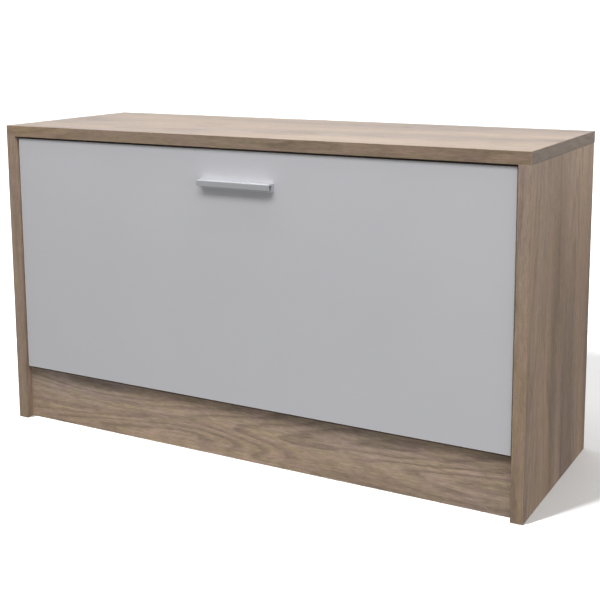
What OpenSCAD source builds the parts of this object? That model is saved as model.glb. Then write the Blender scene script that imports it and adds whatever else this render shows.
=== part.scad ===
/* [Cabinet] */
// Overall width
bench_w = 800; // [700:10:900]
// Overall depth without the handle
bench_d = 280; // [270:5:320]
// Height of the seat
bench_h = 450; // [440:5:480]
// Thickness of the faced chipboard
board_t = 16; // [15:1:18]
// Thickness of the glued edge strips
band_t = 0.8; // [0.4:0.1:2]
// Thickness of the back panel
back_t = 3; // [2.5:0.5:5]
// Height of the kick board
kick_h = 77; // [60:1:77]
// How far the kick board stands back from the side panels' front edges
kick_set = 13; // [6:1:20]
// Width of both rails under the seat
rail_w = 60; // [50:5:80]

/* [Flap] */
// Height of the flap's lower edge above the floor
flap_low = 82; // [82:1:90]
// Gap between the flap and the seat board
flap_top_gap = 3; // [2:0.5:5]
// Gap between the flap and each side panel
flap_side_gap = 2.5; // [2.3:0.1:4]
// How far the flap's face stands back from the side panels' front edges
flap_set = 5; // [2:1:6]
// Widest opening angle
open_angle = 42; // [30:1:42]

/* [Pivot and stop] */
// Distance of the pivot behind the flap
pivot_back = 6; // [6:0.5:8]
// Height of the pivot above the flap's lower edge
pivot_up = 58; // [56:1:66]
// Radius of the steel pivot pin
pin_r = 3; // [2.5:0.1:3.2]
// Radial play of the pin in its boss
pin_play = 0.05; // [0.02:0.01:0.1]
// Radius of the stop slot's centre line about the pivot
stop_ring = 60; // [55:1:64]
// Angle of the stop peg about the pivot, from straight back
stop_from = 80; // [75:1:82]
// Radius of the stop peg
peg_r = 3.5; // [3:0.1:3.6]

/* [Handle] */
// Length of the handle
handle_l = 112; // [100:2:180]
// How far the handle stands out from the flap
handle_out = 14; // [12:1:20]
// Height of the handle's lip
lip_h = 8.3; // [7:0.1:10]
// Distance from the flap's upper edge to the handle's top
handle_drop = 40; // [30:1:60]
// Distance between the handle's screws
handle_hole_gap = 96; // [64:32:96]

/* [Shoe rack] */
// Thickness of the rack's boards
rack_t = 8; // [6:1:8]
// Slope of the two row floors
floor_slope = 8; // [6:0.5:8]
// Angle of the two dividers above the horizontal
divider_slope = 78; // [78:0.5:80]
// Thickness of the rack's moulded end plates
plate_t = 4; // [3:0.5:4]

/* [Fittings] */
// Diameter of the cam locks
cam_d = 15; // [12:1:15]
// Depth of the cam locks
cam_h = 12.5; // [11:0.5:12.5]
// Distance from a joint to its cam's centre
cam_reach = 24; // [24:1:34]
// Radius of the dowels
dowel_r = 4; // [3:0.5:4]
// Length of the dowels
dowel_l = 30; // [25:1:35]

/* [Hidden] */
$fn = 48;

play = 0.1;
// Hairline joint between two edge strips that meet at a corner
strip_gap = 0.1;
mid = board_t / 2;
handle_proud = handle_out - flap_set;
// Distance from the side panels' front edges to the middle of the whole depth
frame_y = (bench_d - handle_proud) / 2;
side_d = bench_d - back_t;
side_h = bench_h - board_t;
kick_back = kick_set + board_t;
floor_z = kick_h - board_t;

flap_x = board_t + flap_side_gap;
flap_back = flap_set + board_t;
flap_h = side_h - flap_top_gap - flap_low;
flap_high = flap_low + flap_h;
pivot = [flap_back + pivot_back, flap_low + pivot_up];

rail_y = flap_back + 2;
rail_x = board_t;
rear_rail_z = side_h - rail_w;

// Bores and screws
bolt_r = 2.5;
bolt_in = 11;
bolt_head_r = 3.5;
bolt_head_l = 6;
channel_r = 4;
dowel_in = 11;
bore_over = 0.5;
slot_w = 1.2;
slot_deep = 2;
screw_r = 1.75;
screw_in = 12;
screw_head_r = 3.4;
screw_head_h = 2;
rim_share = 0.4;
crown_share = 0.7;
recess_l = 3.4;
recess_w = 0.9;
recess_deep = 1.1;
nail_r = 0.7;
nail_l = 18;
nail_head_r = 1.6;
nail_head_h = 0.6;

// Pivot bracket
bracket_t = 2;
bracket_seat = board_t + bracket_t;
shoulder_r = 4.5;
shoulder_l = 2;
pin_tip = 30.5;
boss_r = 5.5;
boss_from = bracket_seat + shoulder_l + 0.3;
plate_x = 24;
boss_to = plate_x + plate_t + 3;
bracket_outline = [[-5, -9], [38, -13], [38, 30], [14, 44], [-5, 44]];
bracket_rounds = [6, 7, 7, 7, 7];
bracket_holes = [[5, 35], [30, 22], [30, -4]];
peg_flange_r = 6;
peg_flange_h = 1.5;
peg_tip = 27.5;
peg_slot_r = peg_r + 0.5;

// Handle profile
web_t = 2.2;
lip_t = 2.5;
leg_t = 5.5;
leg_h = 11.5;
handle_hole_r = 2;
handle_hole_deep = 4.5;
handle_screw_r = 1.95;
handle_screw_head_r = 4;
handle_screw_head_h = 2.4;
flap_hole_r = 2.25;
handle_top = flap_high - handle_drop;
handle_x = (bench_w - handle_l) / 2;

// Rack: each board is [start y, start z, length, slope]
floor_start = 25.5;
front_floor = [floor_start, flap_low + 19.5, 88.4, floor_slope];
middle_board = [118, flap_low + 26, 150, divider_slope];
rear_floor = [135.5, flap_low + 78, 74.7, floor_slope];
rear_board = [214.5, flap_low + 84, 118, divider_slope];
rack_boards = [front_floor, middle_board, rear_floor, rear_board];
board_end_gap = 0.3;
rib_t = 2;
rib_w = 8;
rib_play = 0.2;
flange_w = 16;
flange_t = 3;
plate_outline = [
  [flap_back, flap_low + 8], [126, flap_low + 13], [222, flap_low + 70], [252, flap_low + 208],
  [230, flap_low + 215], [150, flap_low + 190], [60, flap_low + 254], [flap_back, flap_low + 268]
];
plate_rounds = [6, 16, 24, 9, 12, 30, 30, 8];
// Room left in the flange around the pivot's boss
flange_notch = 9;
flange_low = flap_low + 14;
flange_high = flap_low + 260;
rack_screw_x = plate_x + plate_t + 10;
rack_screw_z = [flap_low + 30, flap_low + 143, flap_low + 248];

buffer_r = 5;
buffer_top_r = 3.6;
buffer_t = 1.7;
buffer_rim = 0.8;
buffer_in = 60;
buffer_drop = 7;

// Joints on the left side: [where the bolt enters, way the cam faces, way the bolt points]
top_joints = [for (y = [95, 217]) [[mid, y, side_h], [1, 0, 0], [0, 0, -1]]];
bottom_joints = [for (y = [75, 235]) [[board_t, y, floor_z + mid], [0, 0, -1], [1, 0, 0]]];
kick_joints = [[[board_t, kick_set + mid, kick_h / 2], [0, 1, 0], [1, 0, 0]]];
front_rail_joints = [[[rail_x, rail_y + 20, side_h - mid], [0, 0, -1], [1, 0, 0]]];
rear_rail_joints = [[[rail_x, side_d - mid, rear_rail_z + 20], [0, -1, 0], [1, 0, 0]]];
side_joints = concat(bottom_joints, kick_joints, front_rail_joints, rear_rail_joints);
all_joints = concat(top_joints, side_joints);

// Dowels on the left side, as joints whose second entry isn't used for a cam
top_dowels = [for (y = [125, 187]) [[mid, y, side_h], [1, 0, 0], [0, 0, -1]]];
bottom_dowels = [for (y = [110, 200]) [[board_t, y, floor_z + mid], [0, 0, -1], [1, 0, 0]]];
kick_dowels = [for (z = [16, kick_h - 16]) [[board_t, kick_set + mid, z], [0, 1, 0], [1, 0, 0]]];
front_rail_dowels = [[[rail_x, rail_y + rail_w - 15, side_h - mid], [0, 0, -1], [1, 0, 0]]];
rear_rail_dowels = [[[rail_x, side_d - mid, side_h - 15], [0, -1, 0], [1, 0, 0]]];
side_dowels = concat(bottom_dowels, kick_dowels, front_rail_dowels, rear_rail_dowels);
all_dowels = concat(top_dowels, side_dowels);

// Nails: [x, z] on the back panel
side_nails = [for (x = [mid, bench_w - mid], z = [30 : (side_h - 60) / 4 : side_h - 30]) [x, z]];
bottom_nails = [for (k = [1 : 4]) [bench_w * k / 5, floor_z + mid]];
rail_nails = [for (k = [1 : 4]) [bench_w * k / 5, side_h - 15]];
all_nails = concat(side_nails, bottom_nails, rail_nails);

oak = "#a08d79";
oak_pale = "#c9bbab";
oak_dark = "#8a7866";
white_board = "#e6e6e8";
hardboard = "#b9a48a";
steel = "#9a9ca0";
satin = "#c4c6ca";
beech = "#d9bf94";
moulding = "#3a3b3d";
clear_pad = "#dfe3e6";

// ---------- helpers ----------

function unit(v) = v / norm(v);
// A polygon's corners rounded off, each over its own length r on both sides, or left sharp where that is 0
function softened(p, r, n = 6) = [
  for (i = [0 : len(p) - 1])
    let (
      c = p[i],
      before = p[(i + len(p) - 1) % len(p)],
      after = p[(i + 1) % len(p)],
      a = c + r[i] * unit(before - c),
      b = c + r[i] * unit(after - c)
    )
      for (k = [0 : r[i] > 0 ? n : 0])
        let (f = k / n) (1 - f) * (1 - f) * a + 2 * f * (1 - f) * c + f * f * b
];

// From the left front floor corner to the object's own frame
module placed() translate([-bench_w / 2, -frame_y, 0]) children();
module mirrored() translate([bench_w, 0, 0]) mirror([1, 0, 0]) children();
module both_sides() {
  children();
  mirrored() children();
}
module block(low, high) translate(low) cube(high - low);
// A flat (y, z) shape made thick along x
module along_x(x, l) translate([x, 0, 0]) rotate([90, 0, 90]) linear_extrude(l) children();
module rod_x(x, l, r, at) translate([x, at[0], at[1]]) rotate([0, 90, 0]) cylinder(r = r, h = l);
module rod_y(y, l, r, at) translate([at[0], y, at[1]]) rotate([-90, 0, 0]) cylinder(r = r, h = l);

// Puts a fitting on its joint: its own z runs along the bolt, its own y towards the cam's face
module on_joint(j) {
  across = cross(j[1], j[2]);
  multmatrix([
    [across[0], j[1][0], j[2][0], j[0][0]],
    [across[1], j[1][1], j[2][1], j[0][1]],
    [across[2], j[1][2], j[2][2], j[0][2]],
    [0, 0, 0, 1]
  ]) children();
}
module on_joints(joints) for (j = joints) on_joint(j) children();

// ---------- fittings and their bores ----------

module cam_body(r, h) translate([0, mid, cam_reach]) rotate([90, 0, 0]) cylinder(r = r, h = h);
module bolt_channel(r, l) cylinder(r = r, h = l);

module cam_lock() {
  difference() {
    cam_body(cam_d / 2, cam_h);
    bolt_channel(channel_r, cam_reach + channel_r);
    for (turn = [0, 90])
      translate([0, mid - slot_deep, cam_reach]) rotate([0, turn, 0])
        translate([-cam_d / 3, 0, -slot_w / 2]) cube([cam_d * 2 / 3, slot_deep + 1, slot_w]);
  }
}

module cam_bolt() {
  translate([0, 0, -bolt_in]) cylinder(r = bolt_r, h = bolt_in + cam_reach);
  cylinder(r = bolt_head_r, h = 1);
  translate([0, 0, cam_reach - bolt_head_l / 2]) cylinder(r = bolt_head_r, h = bolt_head_l);
}

module cam_bore() {
  cam_body(cam_d / 2 + play, cam_h + play);
  translate([0, 0, -1]) bolt_channel(channel_r, cam_reach + 1);
}

module bolt_bore() translate([0, 0, -bolt_in - play]) cylinder(r = bolt_r + play, h = bolt_in + 1);
module dowel() translate([0, 0, -dowel_in]) cylinder(r = dowel_r, h = dowel_l);
module dowel_bore()
  translate([0, 0, -dowel_in - bore_over]) cylinder(r = dowel_r + play, h = dowel_l + 2 * bore_over);

// A pan head with a cross recess, seated on the plane z = 0
module pan_head(r, h) {
  rim = h * rim_share;
  difference() {
    union() {
      cylinder(r = r, h = rim);
      translate([0, 0, rim]) cylinder(r1 = r, r2 = r * crown_share, h = h - rim);
    }
    for (turn = [0, 90])
      rotate([0, 0, turn]) translate([-recess_l / 2, -recess_w / 2, h - recess_deep])
        cube([recess_l, recess_w, recess_deep + 1]);
  }
}
module head_x(x, r, h, at) translate([x, at[0], at[1]]) rotate([0, 90, 0]) pan_head(r, h);
module head_y(y, r, h, at) translate([at[0], y, at[1]]) rotate([-90, 0, 0]) pan_head(r, h);

module nail(at) {
  rod_y(bench_d - nail_l, nail_l, nail_r, at);
  rod_y(bench_d - nail_head_h, nail_head_h, nail_head_r, at);
}
module nails(list) for (at = list) nail(at);

function about_pivot(offset) = pivot + offset;
peg_at = about_pivot(stop_ring * [cos(stop_from), sin(stop_from)]);

// ---------- cabinet ----------

module top_panel() {
  color(oak_pale)
    placed() difference() {
      block([band_t, band_t, side_h], [bench_w - band_t, bench_d, bench_h]);
      both_sides() on_joints(top_joints) bolt_bore();
      both_sides() on_joints(top_dowels) dowel_bore();
    }
}

module top_edge_bands() {
  color(oak)
    placed() {
      block([0, 0, side_h], [bench_w, band_t, bench_h]);
      both_sides() block([0, band_t + strip_gap, side_h], [band_t, bench_d, bench_h]);
    }
}

module side_panel() {
  difference() {
    block([0, band_t, 0], [board_t, side_d, side_h]);
    on_joints(top_joints) cam_bore();
    on_joints(top_dowels) dowel_bore();
    on_joints(side_joints) bolt_bore();
    on_joints(side_dowels) dowel_bore();
    for (h = bracket_holes) rod_x(bracket_seat - screw_in, screw_in, screw_r, about_pivot(h));
    rod_x(board_t - screw_in, screw_in + 1, bolt_r, peg_at);
    nails(side_nails);
  }
}

module left_side_panel() {
  color(oak_dark) placed() side_panel();
}

module right_side_panel() {
  color(oak_dark) placed() mirrored() side_panel();
}

module side_edge_bands() {
  color(oak) placed() both_sides() block([0, 0, 0], [board_t, band_t, side_h]);
}

module kick_board() {
  color(oak)
    placed() difference() {
      block([board_t, kick_set, 0], [bench_w - board_t, kick_back, kick_h]);
      both_sides() on_joints(kick_joints) cam_bore();
      both_sides() on_joints(kick_dowels) dowel_bore();
    }
}

module bottom_panel() {
  color(oak)
    placed() difference() {
      block([board_t, kick_back, floor_z], [bench_w - board_t, side_d, kick_h]);
      both_sides() on_joints(bottom_joints) cam_bore();
      both_sides() on_joints(bottom_dowels) dowel_bore();
      nails(bottom_nails);
    }
}

module back_panel() {
  color(hardboard)
    placed() difference() {
      block([1, side_d, 4], [bench_w - 1, bench_d, side_h]);
      nails(all_nails);
    }
}

module front_rail() {
  color(oak)
    placed() difference() {
      block([rail_x, rail_y, side_h - board_t], [bench_w - rail_x, rail_y + rail_w, side_h]);
      both_sides() on_joints(front_rail_joints) cam_bore();
      both_sides() on_joints(front_rail_dowels) dowel_bore();
    }
}

module rear_rail() {
  color(oak)
    placed() difference() {
      block([rail_x, side_d - board_t, rear_rail_z], [bench_w - rail_x, side_d, side_h]);
      both_sides() on_joints(rear_rail_joints) cam_bore();
      both_sides() on_joints(rear_rail_dowels) dowel_bore();
      nails(rail_nails);
    }
}

module cam_locks() {
  color(satin) placed() both_sides() on_joints(all_joints) cam_lock();
}

module cam_bolts() {
  color(steel) placed() both_sides() on_joints(all_joints) cam_bolt();
}

module dowels() {
  color(beech) placed() both_sides() on_joints(all_dowels) dowel();
}

module back_nails() {
  color(steel) placed() nails(all_nails);
}

// ---------- pivot and stop ----------

module pivot_bracket() {
  difference() {
    along_x(board_t, bracket_t) polygon([for (p = softened(bracket_outline, bracket_rounds)) about_pivot(p)]);
    for (h = bracket_holes) rod_x(board_t - 1, bracket_t + 2, screw_r + play, about_pivot(h));
  }
  rod_x(board_t, bracket_t + shoulder_l, shoulder_r, pivot);
  rod_x(board_t, pin_tip - board_t, pin_r, pivot);
}

module left_pivot_bracket() {
  color(steel) placed() pivot_bracket();
}

module right_pivot_bracket() {
  color(steel) placed() mirrored() pivot_bracket();
}

module bracket_screws() {
  color(satin)
    placed() both_sides() for (h = bracket_holes) {
      rod_x(bracket_seat - screw_in, screw_in, screw_r, about_pivot(h));
      head_x(bracket_seat, screw_head_r, screw_head_h, about_pivot(h));
    }
}

module stop_pegs() {
  color(satin)
    placed() both_sides() {
      rod_x(board_t - screw_in, screw_in, bolt_r - play, peg_at);
      rod_x(board_t, peg_flange_h, peg_flange_r, peg_at);
      rod_x(board_t, peg_tip - board_t, peg_r, peg_at);
    }
}

// ---------- flap ----------

handle_holes = [for (s = [-1, 1]) [bench_w / 2 + s * handle_hole_gap / 2, handle_top - leg_h / 2]];

module flap_panel() {
  color(white_board)
    placed() difference() {
      block(
        [flap_x + band_t, flap_set, flap_low + band_t],
        [bench_w - flap_x - band_t, flap_back, flap_high - band_t]
      );
      for (at = handle_holes) rod_y(flap_set - 1, board_t + 2, flap_hole_r, at);
      both_sides() for (z = rack_screw_z)
        rod_y(flap_back + flange_t - screw_in, screw_in, screw_r, [rack_screw_x, z]);
    }
}

module flap_edge_bands() {
  color(white_board)
    placed() {
      for (z = [flap_low, flap_high - band_t])
        block([flap_x, flap_set, z], [bench_w - flap_x, flap_back, z + band_t]);
      both_sides()
        block(
          [flap_x, flap_set, flap_low + band_t + strip_gap],
          [flap_x + band_t, flap_back, flap_high - band_t - strip_gap]
        );
    }
}

// Section of the handle, from its top front edge: a lip, a web and a leg on the flap's face
module handle_profile() {
  front = flap_set - handle_out;
  lip_back = front + lip_t;
  leg_front = flap_set - leg_t;
  under = handle_top - web_t;
  low = handle_top - leg_h;
  outline = [
    [front, handle_top], [front, handle_top - lip_h], [lip_back, handle_top - lip_h], [lip_back, under],
    [leg_front, under], [leg_front, low], [flap_set, low], [flap_set, handle_top]
  ];
  polygon(softened(outline, [1.4, 0.8, 0.8, 0.8, 0.8, 0.5, 0, 0], 4));
}

module handle() {
  color(satin)
    placed() difference() {
      along_x(handle_x, handle_l) handle_profile();
      for (at = handle_holes) rod_y(flap_set - handle_hole_deep, handle_hole_deep + 1, handle_hole_r, at);
    }
}

module handle_screws() {
  color(steel)
    placed() for (at = handle_holes) {
      rod_y(flap_set - handle_hole_deep + play, board_t + handle_hole_deep - play, handle_screw_r, at);
      head_y(flap_back, handle_screw_head_r, handle_screw_head_h, at);
    }
}

module flap_buffers() {
  color(clear_pad)
    placed() both_sides() translate([flap_x + buffer_in, flap_back, flap_high - buffer_drop])
      rotate([-90, 0, 0]) {
        cylinder(r = buffer_r, h = buffer_rim);
        translate([0, 0, buffer_rim]) cylinder(r1 = buffer_r, r2 = buffer_top_r, h = buffer_t - buffer_rim);
      }
}

// ---------- shoe rack ----------

// A rack board's (y, z) section, grown on all sides
module board_section(b, grow = 0)
  translate([b[0], b[1]]) rotate(b[3])
    translate([-grow, -rack_t / 2 - grow]) square([b[2] + 2 * grow, rack_t + 2 * grow]);

module rack_board(b) {
  ends = plate_x + plate_t + board_end_gap;
  color(white_board) placed() along_x(ends, bench_w - 2 * ends) board_section(b);
}

module stop_slot() {
  translate([plate_x - 1, pivot[0], pivot[1]]) rotate([90, 0, 90]) {
    rotate([0, 0, stop_from - open_angle]) rotate_extrude(angle = open_angle)
      translate([stop_ring - peg_slot_r, 0]) square([2 * peg_slot_r, plate_t + 2]);
    for (a = [stop_from - open_angle, stop_from])
      translate(stop_ring * [cos(a), sin(a), 0]) cylinder(r = peg_slot_r, h = plate_t + 2);
  }
}

module rack_plate() {
  inner = plate_x + plate_t;
  difference() {
    union() {
      along_x(plate_x, plate_t) polygon(softened(plate_outline, plate_rounds));
      rod_x(boss_from, boss_to - boss_from, boss_r, pivot);
      for (span = [[flange_low, pivot[1] - flange_notch], [pivot[1] + flange_notch, flange_high]])
        block([plate_x, flap_back, span[0]], [inner + flange_w, flap_back + flange_t, span[1]]);
    }
    rod_x(boss_from - 1, boss_to - boss_from + 2, pin_r + pin_play, pivot);
    stop_slot();
    for (z = rack_screw_z) rod_y(flap_back - 1, flange_t + 2, screw_r + play, [rack_screw_x, z]);
  }
  difference() {
    for (b = rack_boards) along_x(inner, rib_w) board_section(b, rib_play + rib_t);
    for (b = rack_boards) along_x(inner, rib_w + 1) board_section(b, rib_play);
    block([inner - 1, 0, flange_low - 20], [inner + rib_w + 1, flap_back + flange_t, flange_high]);
  }
}

module left_rack_plate() {
  color(moulding) placed() rack_plate();
}

module right_rack_plate() {
  color(moulding) placed() mirrored() rack_plate();
}

module rack_screws() {
  seat = flap_back + flange_t;
  color(satin)
    placed() both_sides() for (z = rack_screw_z) {
      rod_y(seat - screw_in, screw_in, screw_r, [rack_screw_x, z]);
      head_y(seat, screw_head_r, screw_head_h, [rack_screw_x, z]);
    }
}

module front_row_floor() rack_board(front_floor);
module middle_divider() rack_board(middle_board);
module rear_row_floor() rack_board(rear_floor);
module rear_divider() rack_board(rear_board);

top_panel();
top_edge_bands();
left_side_panel();
right_side_panel();
side_edge_bands();
kick_board();
bottom_panel();
back_panel();
front_rail();
rear_rail();
cam_locks();
cam_bolts();
dowels();
back_nails();
left_pivot_bracket();
right_pivot_bracket();
bracket_screws();
stop_pegs();
flap_panel();
flap_edge_bands();
handle();
handle_screws();
flap_buffers();
left_rack_plate();
right_rack_plate();
rack_screws();
front_row_floor();
middle_divider();
rear_row_floor();
rear_divider();
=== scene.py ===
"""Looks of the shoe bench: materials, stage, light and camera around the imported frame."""

import math

import bmesh
import bpy
from mathutils import Matrix, Vector


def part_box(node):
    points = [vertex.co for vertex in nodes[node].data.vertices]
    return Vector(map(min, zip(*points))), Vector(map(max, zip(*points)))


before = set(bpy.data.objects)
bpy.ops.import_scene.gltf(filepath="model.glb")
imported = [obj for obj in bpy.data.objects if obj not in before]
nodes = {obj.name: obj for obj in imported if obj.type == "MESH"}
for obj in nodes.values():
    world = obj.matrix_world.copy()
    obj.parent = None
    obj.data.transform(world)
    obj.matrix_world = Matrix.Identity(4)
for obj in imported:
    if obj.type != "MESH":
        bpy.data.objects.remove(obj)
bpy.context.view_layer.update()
scene = bpy.context.scene
MM = 0.001


# ---------------------------------------------------------------- node trees


class Tree:
    """One material's nodes. Values may be sockets or plain numbers."""

    def __init__(self, name):
        self.mat = bpy.data.materials.new(name)
        self.mat.use_nodes = True
        self.tree = self.mat.node_tree
        self.tree.nodes.clear()
        out = self.add("ShaderNodeOutputMaterial")
        self.shader = self.add("ShaderNodeBsdfPrincipled")
        self.tree.links.new(self.shader.outputs["BSDF"], out.inputs["Surface"])
        self.place = self.add("ShaderNodeTexCoord").outputs["Object"]

    def add(self, kind, **props):
        node = self.tree.nodes.new(kind)
        for key, value in props.items():
            setattr(node, key, value)
        return node

    def feed(self, socket, value):
        if isinstance(value, bpy.types.NodeSocket):
            self.tree.links.new(value, socket)
        else:
            socket.default_value = value

    def math(self, operation, *values, clamp=False):
        node = self.add("ShaderNodeMath", operation=operation, use_clamp=clamp)
        for socket, value in zip(node.inputs, values):
            self.feed(socket, value)
        return node.outputs[0]

    def plus(self, a, b):
        return self.math("ADD", a, b)

    def times(self, a, b):
        return self.math("MULTIPLY", a, b)

    def split(self, vector):
        node = self.add("ShaderNodeSeparateXYZ")
        self.feed(node.inputs[0], vector)
        return list(node.outputs)

    def join(self, x, y, z=0.0):
        node = self.add("ShaderNodeCombineXYZ")
        for socket, value in zip(node.inputs, (x, y, z)):
            self.feed(socket, value)
        return node.outputs[0]

    def noise(self, vector, scale=1.0, detail=2.0, rough=0.5, twist=0.0):
        node = self.add("ShaderNodeTexNoise")
        self.feed(node.inputs["Vector"], vector)
        node.inputs["Scale"].default_value = scale
        node.inputs["Detail"].default_value = detail
        node.inputs["Roughness"].default_value = rough
        node.inputs["Distortion"].default_value = twist
        return node.outputs[0]

    def stretch(self, a, b, along, across, seed):
        """A noise space that is long along a and short along b, with its own seed."""
        return self.join(self.times(a, along), self.times(b, across), float(seed))

    def range(self, value, low, high, to_low=0.0, to_high=1.0, smooth=True):
        node = self.add("ShaderNodeMapRange", interpolation_type="SMOOTHSTEP" if smooth else "LINEAR")
        self.feed(node.inputs["Value"], value)
        for key, number in (("From Min", low), ("From Max", high), ("To Min", to_low), ("To Max", to_high)):
            node.inputs[key].default_value = number
        return node.outputs["Result"]

    def ramp(self, value, stops):
        node = self.add("ShaderNodeValToRGB")
        self.feed(node.inputs[0], value)
        marks = node.color_ramp.elements
        while len(marks) < len(stops):
            marks.new(0.5)
        for mark, (at, colour) in zip(marks, stops):
            mark.position = at
            mark.color = (*colour, 1.0)
        return node.outputs[0]

    def mix(self, amount, a, b, blend="MIX"):
        node = self.add("ShaderNodeMix", data_type="RGBA", blend_type=blend)
        self.feed(node.inputs[0], amount)
        for socket, value in zip(node.inputs[6:8], (a, b)):
            self.feed(socket, (*value, 1.0) if isinstance(value, tuple) else value)
        return node.outputs[2]

    def bump(self, height, distance, strength=1.0, normal=None):
        node = self.add("ShaderNodeBump")
        self.feed(node.inputs["Height"], height)
        node.inputs["Distance"].default_value = distance
        node.inputs["Strength"].default_value = strength
        if normal is not None:
            self.feed(node.inputs["Normal"], normal)
        return node.outputs[0]

    def edge(self, low, high, width):
        """1 on a box's edges, falling to 0 at that distance from them."""
        gaps = []
        for axis, c in enumerate(self.split(self.place)):
            middle, half = (low[axis] + high[axis]) / 2, (high[axis] - low[axis]) / 2
            off = self.math("ABSOLUTE", self.math("SUBTRACT", c, middle))
            gaps.append(self.math("ABSOLUTE", self.math("SUBTRACT", half, off)))
        a, b, c = gaps
        largest = self.math("MAXIMUM", self.math("MAXIMUM", a, b), c)
        smallest = self.math("MINIMUM", self.math("MINIMUM", a, b), c)
        total = self.plus(self.plus(a, b), c)
        second = self.math("SUBTRACT", self.math("SUBTRACT", total, largest), smallest)
        return self.range(second, 0.0, width, 1.0, 0.0)

    def finish(self, colour, rough, normal=None, metal=0.0, **fixed):
        self.feed(self.shader.inputs["Base Color"], colour)
        self.feed(self.shader.inputs["Roughness"], rough)
        self.shader.inputs["Metallic"].default_value = metal
        if normal is not None:
            self.feed(self.shader.inputs["Normal"], normal)
        for key, value in fixed.items():
            self.shader.inputs[key.replace("_", " ")].default_value = value
        return self.mat


# Warm ground, grey ground, late wood, pores, worn edges
OAK_COLOURS = (
    (0.440, 0.322, 0.222),
    (0.372, 0.290, 0.228),
    (0.215, 0.160, 0.122),
    (0.100, 0.072, 0.052),
    (0.520, 0.420, 0.320),
)


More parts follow.
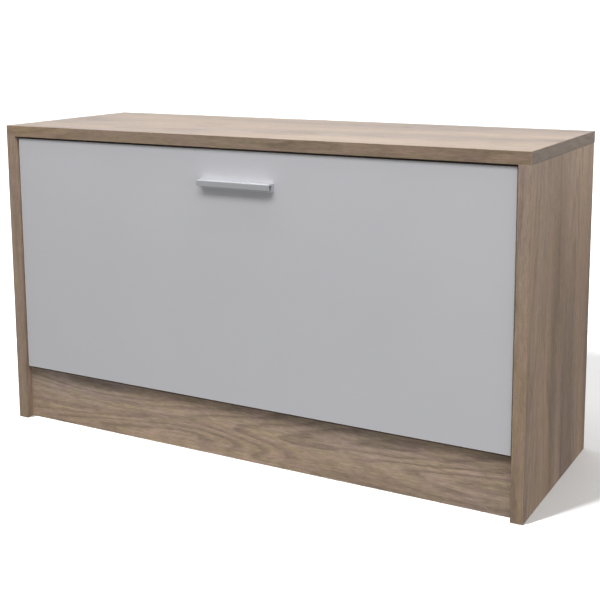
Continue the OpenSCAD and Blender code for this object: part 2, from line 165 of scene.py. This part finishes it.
def oak(name, along, seed, box, painted_tone=(1.0, 1.0, 1.0), rough=0.40, ior=1.4, figure=1.0, reach=1.0, swing=1.0):
    """Printed oak foil: figure, fibres, pores, rays, saw marks and a little wear on the edges; painted light and
    shade per part, and a painted sheen on the ends of a wrapped band.
    """
    t = Tree(name)
    x, y, z = t.split(t.place)
    if along == "wrap":
        end = t.range(t.math("ABSOLUTE", x), box[1][0] - 0.9 * MM, box[1][0] - 0.8 * MM)
        front = t.math("SUBTRACT", 1.0, end)
        u = t.plus(t.times(x, front), t.times(y, end))
        v = t.plus(z, t.plus(t.times(y, front), t.times(x, end)))
    else:
        u, v = {"x": (x, t.plus(y, z)), "z": (z, t.plus(x, y))}[along]
    sway = t.noise(t.stretch(u, v, 2.2, 6.0, seed + 3.1), detail=2.0)
    v = t.plus(v, t.times(t.math("SUBTRACT", sway, 0.5), 0.030))

    field = t.noise(t.stretch(u, v, 2.6 / reach, 14.0, seed), detail=1.0, rough=0.35)
    wobble = t.noise(t.stretch(u, v, 16.0, 130.0, seed + 1.7), detail=3.0, rough=0.6)
    phase = t.plus(t.times(field, 17.0), t.times(wobble, 0.85))
    turn = t.math("FRACT", phase)
    late = t.times(t.range(turn, 0.35, 0.82), t.range(turn, 0.84, 1.0, 1.0, 0.0))
    late = t.times(late, t.range(t.noise(t.stretch(u, v, 3.4, 22.0, seed + 2.3), detail=2.0), 0.38, 0.60, 0.25, 1.0))

    fibre = t.noise(t.stretch(u, v, 5.0, 420.0, seed + 5.3), detail=4.0, rough=0.65)
    dash = t.noise(t.stretch(u, v, 90.0, 700.0, seed + 6.4), detail=2.0, rough=0.6)
    mottle = t.noise(t.stretch(u, v, 42.0, 150.0, seed + 8.2), detail=3.0, rough=0.6)
    streak = t.noise(t.stretch(u, v, 3.0, 85.0, seed + 7.9), detail=3.0, rough=0.6)
    patch = t.noise(t.stretch(u, v, 1.8, 9.0, seed + 9.4), detail=2.0)
    band = t.noise(t.stretch(u, v, 1.1, 25.0 / reach, seed + 12.7), detail=1.0)
    tint = t.noise(t.stretch(u, v, 26.0, 85.0, seed + 10.1), detail=2.0)
    pore = t.range(t.noise(t.stretch(u, v, 95.0, 1900.0, seed + 11.2), detail=1.0), 0.62, 0.74)
    pore = t.times(pore, t.range(late, 0.1, 0.7, 0.35, 1.0))

    vein_field = t.noise(t.stretch(u, v, 1.3, 10.0, seed + 13.6), detail=2.0)
    vein = t.range(t.math("ABSOLUTE", t.math("SUBTRACT", vein_field, 0.5)), 0.0, 0.030, 1.0, 0.0)
    vein = t.times(vein, t.range(t.noise(t.stretch(u, v, 2.6, 8.0, seed + 15.8)), 0.50, 0.66))

    saw_wave = t.math("SINE", t.plus(t.times(u, 1750.0), t.times(t.plus(wobble, mottle), 7.0)))
    saw_patch = t.range(t.noise(t.stretch(u, v, 14.0, 60.0, seed + 17.3), detail=3.0), 0.44, 0.66)
    saw = t.times(t.range(saw_wave, -1.0, 1.0, -1.0, 1.0), saw_patch)

    slant = t.plus(t.times(u, 0.35), v)
    ray = t.noise(t.stretch(u, slant, 75.0, 330.0, seed + 19.7), detail=1.0)
    ray = t.times(t.range(ray, 0.66, 0.76), t.range(patch, 0.45, 0.60))

    # This multiplier paints light and shade per part into every oak colour.
    warm, grey, dark, pit, bare = (tuple(c * k for c, k in zip(colour, painted_tone)) for colour in OAK_COLOURS)
    colour = t.mix(t.range(patch, 0.36, 0.64), warm, grey)
    colour = t.mix(t.times(late, min(0.42 * figure, 0.75)), colour, dark)
    colour = t.mix(t.times(t.range(streak, 0.42, 0.75), min(0.27 * figure, 0.6)), colour, dark)
    colour = t.mix(t.times(vein, min(0.55 * figure, 0.8)), colour, dark)
    light = t.range(fibre, 0.25, 0.75, 1.0 - 0.09 * figure, 1.0 + 0.08 * figure, False)
    for layer, low, high, gain in ((dash, 0.30, 0.70, 0.12), (mottle, 0.30, 0.70, 0.07)):
        light = t.plus(light, t.range(layer, low, high, -gain * figure, gain * figure, False))
    light = t.plus(light, t.range(band, 0.36, 0.62, -0.075 * figure * swing, 0.035 * figure * swing))
    light = t.plus(light, t.plus(t.times(saw, 0.022 * figure), t.times(ray, 0.12)))
    colour = t.mix(1.0, colour, t.join(light, light, light), "MULTIPLY")
    colour = t.mix(1.0, colour, t.ramp(tint, [(0.36, (0.985, 1.010, 0.945)), (0.64, (1.015, 0.990, 1.045))]), "MULTIPLY")
    if along == "wrap":
        # Painted sheen: the band's end faces are made lighter and bluer than its front.
        colour = t.mix(end, colour, t.mix(1.0, colour, (1.14, 1.17, 1.27), "MULTIPLY"))
    colour = t.mix(t.times(pore, 0.42), colour, pit)
    worn = t.times(t.edge(*box, 0.8 * MM), t.range(t.noise(t.place, 190.0), 0.40, 0.62, 0.10, 0.55))
    colour = t.mix(worn, colour, bare)

    height = t.plus(t.times(pore, -1.0), t.times(fibre, 0.35))
    height = t.plus(height, t.times(saw, 0.15))
    normal = t.bump(height, 0.05 * MM, 0.55)
    gloss = t.plus(t.range(patch, 0.30, 0.70, rough - 0.03, rough + 0.04), t.times(pore, 0.18))
    return t.finish(colour, gloss, normal, IOR=ior)


def melamine(name, box, colour, rough=0.36):
    """White melamine: a fine pearl surface, faint cloudiness, and slightly soiled, duller edges."""
    t = Tree(name)
    pearl = t.noise(t.place, 1400.0, detail=1.0)
    cloud = t.noise(t.place, 5.5, detail=3.0, rough=0.55)
    speck = t.range(t.noise(t.place, 620.0, detail=1.0), 0.70, 0.80)
    light = t.plus(t.range(cloud, 0.3, 0.7, 0.985, 1.015, False), t.times(speck, -0.05))
    base = t.mix(1.0, colour, t.join(light, light, light), "MULTIPLY")
    edge = t.times(t.edge(*box, 1.0 * MM), t.range(t.noise(t.place, 150.0), 0.42, 0.62, 0.2, 1.0))
    base = t.mix(t.times(edge, 0.35), base, tuple(c * 0.80 for c in colour))
    gloss = t.plus(t.range(cloud, 0.3, 0.7, rough - 0.03, rough + 0.05), t.times(edge, 0.10))
    return t.finish(base, gloss, t.bump(pearl, 0.012 * MM, 0.6), IOR=1.5)


def metal(name, colour, rough, along=None, scratch=0.4, grain=900.0, age=1.0, bare=1.0):
    """Metal with fine drawing or rolling marks along one axis, or a cast, tumbled surface without one."""
    t = Tree(name)
    x, y, z = t.split(t.place)
    if along:
        u, v = {"x": (x, t.plus(y, t.times(z, 1.3))), "y": (y, t.plus(x, z)), "z": (z, t.plus(x, y))}[along]
        lines = t.noise(t.stretch(u, v, 14.0, grain * 4.0, 1.0), detail=3.0, rough=0.7)
    else:
        lines = t.noise(t.place, grain, detail=3.0, rough=0.6)
    blotch = t.noise(t.place, 45.0, detail=3.0)
    light = t.plus(t.range(lines, 0.3, 0.7, 1.0 - 0.07 * age, 1.0 + 0.05 * age, False), t.range(blotch, 0.3, 0.7, -0.05 * age, 0.03 * age, False))
    base = t.mix(1.0, colour, t.join(light, light, light), "MULTIPLY")
    gloss = t.plus(t.range(lines, 0.3, 0.7, rough - 0.04 * age, rough + 0.06 * age), t.range(blotch, 0.35, 0.7, 0.0, 0.05 * age))
    return t.finish(base, gloss, t.bump(lines, 0.02 * MM, scratch), metal=bare)


def hardboard(name, box):
    """Raw hardboard: short pressed fibres in many directions, brown flecks, a darker cut edge."""
    t = Tree(name)
    x, y, z = t.split(t.place)
    lay_a = t.noise(t.join(t.times(x, 300.0), t.times(y, 300.0), t.times(z, 1100.0)), detail=3.0, rough=0.65)
    slant = t.join(t.times(t.plus(x, z), 800.0), t.times(y, 300.0), t.times(t.math("SUBTRACT", x, z), 210.0))
    lay_b = t.noise(slant, detail=3.0, rough=0.65)
    cloud = t.noise(t.place, 14.0, detail=4.0, rough=0.6)
    fleck = t.range(t.noise(t.place, 380.0, detail=2.0), 0.64, 0.74)
    mixed = t.plus(t.times(lay_a, 0.5), t.times(lay_b, 0.5))
    base = t.ramp(mixed, [(0.30, (0.25, 0.155, 0.085)), (0.52, (0.40, 0.265, 0.155)), (0.72, (0.52, 0.37, 0.235))])
    tint = t.range(cloud, 0.3, 0.7, 0.90, 1.08, False)
    base = t.mix(1.0, base, t.join(tint, tint, tint), "MULTIPLY")
    base = t.mix(t.times(fleck, 0.55), base, (0.13, 0.075, 0.04))
    base = t.mix(t.times(t.edge(*box, 1.5 * MM), 0.35), base, (0.16, 0.10, 0.06))
    return t.finish(base, t.range(mixed, 0.3, 0.7, 0.52, 0.70), t.bump(mixed, 0.07 * MM, 0.6), IOR=1.48)


def beech(name):
    t = Tree(name)
    x, y, z = t.split(t.place)
    fleck = t.noise(t.join(t.times(x, 260.0), t.times(y, 1400.0), t.times(z, 1400.0)), detail=3.0)
    base = t.ramp(fleck, [(0.35, (0.46, 0.30, 0.17)), (0.65, (0.66, 0.48, 0.30))])
    return t.finish(base, 0.6, t.bump(fleck, 0.04 * MM, 0.6), IOR=1.48)


def moulded(name, colour, rough=0.48, spark=0.5):
    """Moulded plastic with a fine eroded grain."""
    t = Tree(name)
    grain = t.noise(t.place, 1500.0, detail=2.0, rough=0.6)
    cloud = t.noise(t.place, 22.0, detail=2.0)
    light = t.plus(t.range(grain, 0.3, 0.7, 0.9, 1.1, False), t.range(cloud, 0.3, 0.7, -0.05, 0.05, False))
    base = t.mix(1.0, colour, t.join(light, light, light), "MULTIPLY")
    return t.finish(base, t.range(cloud, 0.3, 0.7, rough - 0.05, rough + 0.06), t.bump(grain, 0.03 * MM, spark), IOR=1.5)


def pad(name):
    t = Tree(name)
    haze = t.noise(t.place, 700.0, detail=2.0)
    base = t.ramp(haze, [(0.3, (0.66, 0.69, 0.71)), (0.7, (0.80, 0.82, 0.83))])
    return t.finish(base, 0.35, t.bump(haze, 0.01 * MM, 0.5), IOR=1.43, Transmission_Weight=0.55)


# ---------------------------------------------------------------- materials on the CAD nodes


def wear(node, material, bevel=None, segments=2):
    """Puts a material on a CAD node, and rounds its sharp edges over by a fraction of a millimetre."""
    obj = nodes[node]
    obj.data.materials.clear()
    obj.data.materials.append(material)
    if bevel:
        join = obj.modifiers.new("join_corners", "WELD")
        join.merge_threshold = 0.002 * MM
        flat = obj.modifiers.new("merge_flat", "DECIMATE")
        flat.decimate_type = "DISSOLVE"
        flat.angle_limit = math.radians(0.4)
        soft = obj.modifiers.new("arris", "BEVEL")
        soft.width = bevel * MM
        soft.segments = segments
        soft.limit_method = "ANGLE"
        soft.angle_limit = math.radians(50)
        soft.use_clamp_overlap = True
        even = obj.modifiers.new("even_shading", "WEIGHTED_NORMAL")
        even.weight = 100
    return obj


# Per-part colour multipliers on the one oak foil: painted light on the sides and a little on the front, painted shade
# on the top and on the edge bands, set to how bright each face looks.
TOP_PAINTED_SHADE = (0.843, 0.862, 0.93)
SIDE_PAINTED_LIGHT = (1.11, 1.036, 0.995)
FRONT_PAINTED_LIGHT = (1.02, 1.02, 1.05)
BAND_PAINTED_SHADE = (0.70, 0.67, 0.62)
UPRIGHT_PAINTED_SHADE = (0.79, 0.77, 0.77)
OAK = {
    "top_panel": ("x", 2.0, 0.10, TOP_PAINTED_SHADE, 0.33, 1.60, 1.2, 1.7, 1.2),
    "left_side_panel": ("z", 31.0, 0.25, SIDE_PAINTED_LIGHT, 0.42, 1.30, 1.0, 1.6, 2.6),
    "right_side_panel": ("z", 47.0, 0.25, SIDE_PAINTED_LIGHT, 0.42, 1.30, 1.0, 1.6, 2.6),
    "kick_board": ("x", 63.0, 0.30, FRONT_PAINTED_LIGHT, 0.40, 1.40, 1.5, 1.2, 1.0),
    "bottom_panel": ("x", 74.0, 0.30, FRONT_PAINTED_LIGHT, 0.40, 1.40, 1.2, 1.5, 1.0),
    "front_rail": ("x", 85.0, 0.30, FRONT_PAINTED_LIGHT, 0.40, 1.40, 1.2, 1.5, 1.0),
    "rear_rail": ("x", 96.0, 0.30, FRONT_PAINTED_LIGHT, 0.40, 1.40, 1.2, 1.5, 1.0),
    "top_edge_bands": ("wrap", 12.0, 0.30, BAND_PAINTED_SHADE, 0.42, 1.35, 1.1, 1.0, 1.0),
    "side_edge_bands": ("z", 107.0, 0.25, UPRIGHT_PAINTED_SHADE, 0.42, 1.35, 1.1, 3.0, 1.0),
}
for node, (along, seed, bevel, *look) in OAK.items():
    wear(node, oak("oak_" + node, along, seed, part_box(node), *look), bevel)

WHITE = (0.515, 0.515, 0.538)
# The flap's edge bands get a lighter white than its face: a painted highlight along the flap's edges.
EDGE_PAINTED_HIGHLIGHT_WHITE = (0.660, 0.657, 0.655)
for node in ("flap_panel", "flap_edge_bands", "front_row_floor", "middle_divider", "rear_row_floor", "rear_divider"):
    white = EDGE_PAINTED_HIGHLIGHT_WHITE if node == "flap_edge_bands" else WHITE
    wear(node, melamine("white_" + node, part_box(node), white), 0.35 if node == "flap_edge_bands" else 0.25)

wear("back_panel", hardboard("hardboard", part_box("back_panel")), 0.30)
wear("dowels", beech("beech"))
wear("handle", metal("satin_aluminium", (0.62, 0.625, 0.65), 0.30, "x", 0.03, 900.0, 0.20, 0.75), 0.25)
zinc = metal("zinc", (0.60, 0.60, 0.61), 0.42, None, 0.5, 700.0)
plated = metal("plated_steel", (0.62, 0.63, 0.65), 0.28, "z", 0.3, 500.0)
black = moulded("moulded_black", (0.030, 0.030, 0.033))
wear("cam_locks", zinc)
for node in ("cam_bolts", "back_nails", "stop_pegs"):
    wear(node, plated)
for node in ("left_pivot_bracket", "right_pivot_bracket"):
    wear(node, plated, 0.25)
for node in ("left_rack_plate", "right_rack_plate"):
    wear(node, black, 0.4)
for node in ("bracket_screws", "handle_screws", "rack_screws"):
    wear(node, plated)
wear("flap_buffers", pad("soft_pad"), 0.5)


# ---------------------------------------------------------------- stage, light, camera


def stage_floor():
    t = Tree("stage_floor")
    grain = t.noise(t.place, 300.0, detail=2.0)
    t.finish(t.ramp(grain, [(0.3, (0.94, 0.94, 0.94)), (0.7, (0.96, 0.96, 0.96))]), 0.9, None, IOR=1.3)
    mesh = bpy.data.meshes.new("stage_floor")
    size = 60.0
    corners = [(-size, -size, 0), (size, -size, 0), (size, size, 0), (-size, size, 0)]
    mesh.from_pydata([(x, y, -0.0002) for x, y, z in corners], [], [(0, 1, 2, 3)])
    mesh.materials.append(t.mat)
    floor = bpy.data.objects.new("stage_floor", mesh)
    scene.collection.objects.link(floor)
    floor.visible_diffuse = False
    floor.visible_glossy = False
    floor.visible_shadow = False
    return floor


def lamp(name, at, aim, size, power, only=(), but=()):
    """A rectangular soft box, or a far lamp whose size is the angle it fills, on some objects only or not on some."""
    far = isinstance(size, float)
    data = bpy.data.lights.new(name, "SUN" if far else "AREA")
    if far:
        data.angle = size
    else:
        data.shape = "RECTANGLE"
        data.size, data.size_y = size
    data.energy = power
    obj = bpy.data.objects.new(name, data)
    obj.location = at
    obj.rotation_euler = (Vector(aim) - Vector(at)).to_track_quat("-Z", "Y").to_euler()
    scene.collection.objects.link(obj)
    obj.visible_camera = False
    if only or but:
        group = bpy.data.collections.new(name + "_link")
        for target in (*only, *but):
            group.objects.link(target)
        if but:
            for link in group.collection_objects:
                link.light_linking.link_state = "EXCLUDE"
        obj.light_linking.receiver_collection = group
    return obj


def sky(tree, height, stops):
    """Grey levels by the sine of the elevation, through a colour ramp."""
    ramp = tree.nodes.new("ShaderNodeValToRGB")
    tree.links.new(height, ramp.inputs[0])
    marks = ramp.color_ramp.elements
    while len(marks) < len(stops):
        marks.new(0.5)
    for mark, (z, grey) in zip(marks, stops):
        mark.position = (z + 1) / 2
        mark.color = (grey, grey, grey, 1.0)
    return ramp.outputs[0]


SKY_FRONT = (
    (-1.0, 0.173), (-0.08, 0.173), (-0.04, 0.435), (0.12, 0.435),
    (0.24, 0.238), (0.50, 0.238), (0.62, 0.344), (1.0, 0.344),
)
SKY_BEHIND = (
    (-1.0, 0.134), (-0.26, 0.134), (-0.22, 0.070), (-0.18, 0.070), (-0.12, 0.630), (-0.08, 0.630),
    (-0.04, 0.790), (0.12, 0.790), (0.24, 0.165), (0.50, 0.165), (0.62, 0.344), (1.0, 0.344),
)


def studio(floor, flap):
    """A world that differs in front and behind, and lamps."""
    world = bpy.data.worlds.new("studio")
    scene.world = world
    world.use_nodes = True
    tree = world.node_tree
    tree.nodes.clear()
    out = tree.nodes.new("ShaderNodeOutputWorld")
    back = tree.nodes.new("ShaderNodeBackground")
    place = tree.nodes.new("ShaderNodeTexCoord")
    split = tree.nodes.new("ShaderNodeSeparateXYZ")
    height = tree.nodes.new("ShaderNodeMapRange")
    height.inputs["From Min"].default_value = -1.0
    behind = tree.nodes.new("ShaderNodeMapRange")
    behind.interpolation_type = "SMOOTHSTEP"
    behind.inputs["From Min"].default_value = -0.65
    behind.inputs["From Max"].default_value = -0.30
    both = tree.nodes.new("ShaderNodeMix")
    both.data_type = "RGBA"
    for a, b in (
        (place.outputs["Generated"], split.inputs[0]),
        (split.outputs[1], behind.inputs["Value"]),
        (split.outputs[2], height.inputs["Value"]),
        (behind.outputs[0], both.inputs[0]),
        (sky(tree, height.outputs[0], SKY_FRONT), both.inputs[6]),
        (sky(tree, height.outputs[0], SKY_BEHIND), both.inputs[7]),
        (both.outputs[2], back.inputs["Color"]),
        (back.outputs[0], out.inputs["Surface"]),
    ):
        tree.links.new(a, b)
    back.inputs["Strength"].default_value = 1.3
    toward = Vector((-0.417, -0.690, 0.596))
    centre = Vector((0.0, 0.0, 0.2))
    lamp("floor_key", centre + toward * 6.0, centre, math.radians(9.0), 5.8, only=[floor])
    lamp("overhead", (0.0, 0.3, 2.4), (0.0, 0.3, 0.0), (2.6, 2.0), 38.0)
    lamp("front_high", (0.3, -1.3, 2.6), (0.0, 0.0, 0.25), (2.0, 0.9), 80.6, but=[floor, *flap])
    lamp("flap_front", (0.35, -1.75, 2.30), (0.0, 0.0, 0.25), (2.2, 0.7), 48.5, only=flap)
    lamp("flap_bounce", (0.0, -1.1, -0.7), (0.0, -0.13, 0.25), (3.0, 1.2), 4.4, only=flap)
    lamp("handle_top", (0.0, -0.35, 2.40), (0.0, -0.14, 0.39), (1.2, 0.3), 50.0, only=flap[-1:])
    lamp("right_fill", (2.2, -1.2, 1.2), (0.3, 0.0, 0.25), (1.0, 1.4), 4.3, but=[floor])


floor = stage_floor()
studio(floor, [nodes[n] for n in ("flap_panel", "flap_edge_bands", "handle")])

camera = bpy.data.cameras.new("camera")
camera.sensor_width = 36.0
camera.lens = 66.198
camera.shift_y = -0.17
camera.dof.use_dof = False
camera.clip_end = 200.0
viewer = bpy.data.objects.new("camera", camera)
viewer.location = (0.7751, -1.3516, 0.5910)
viewer.rotation_euler = (1.4173, 0.00613, 0.5072)
scene.collection.objects.link(viewer)
scene.camera = viewer
scene.view_settings.view_transform = "Standard"
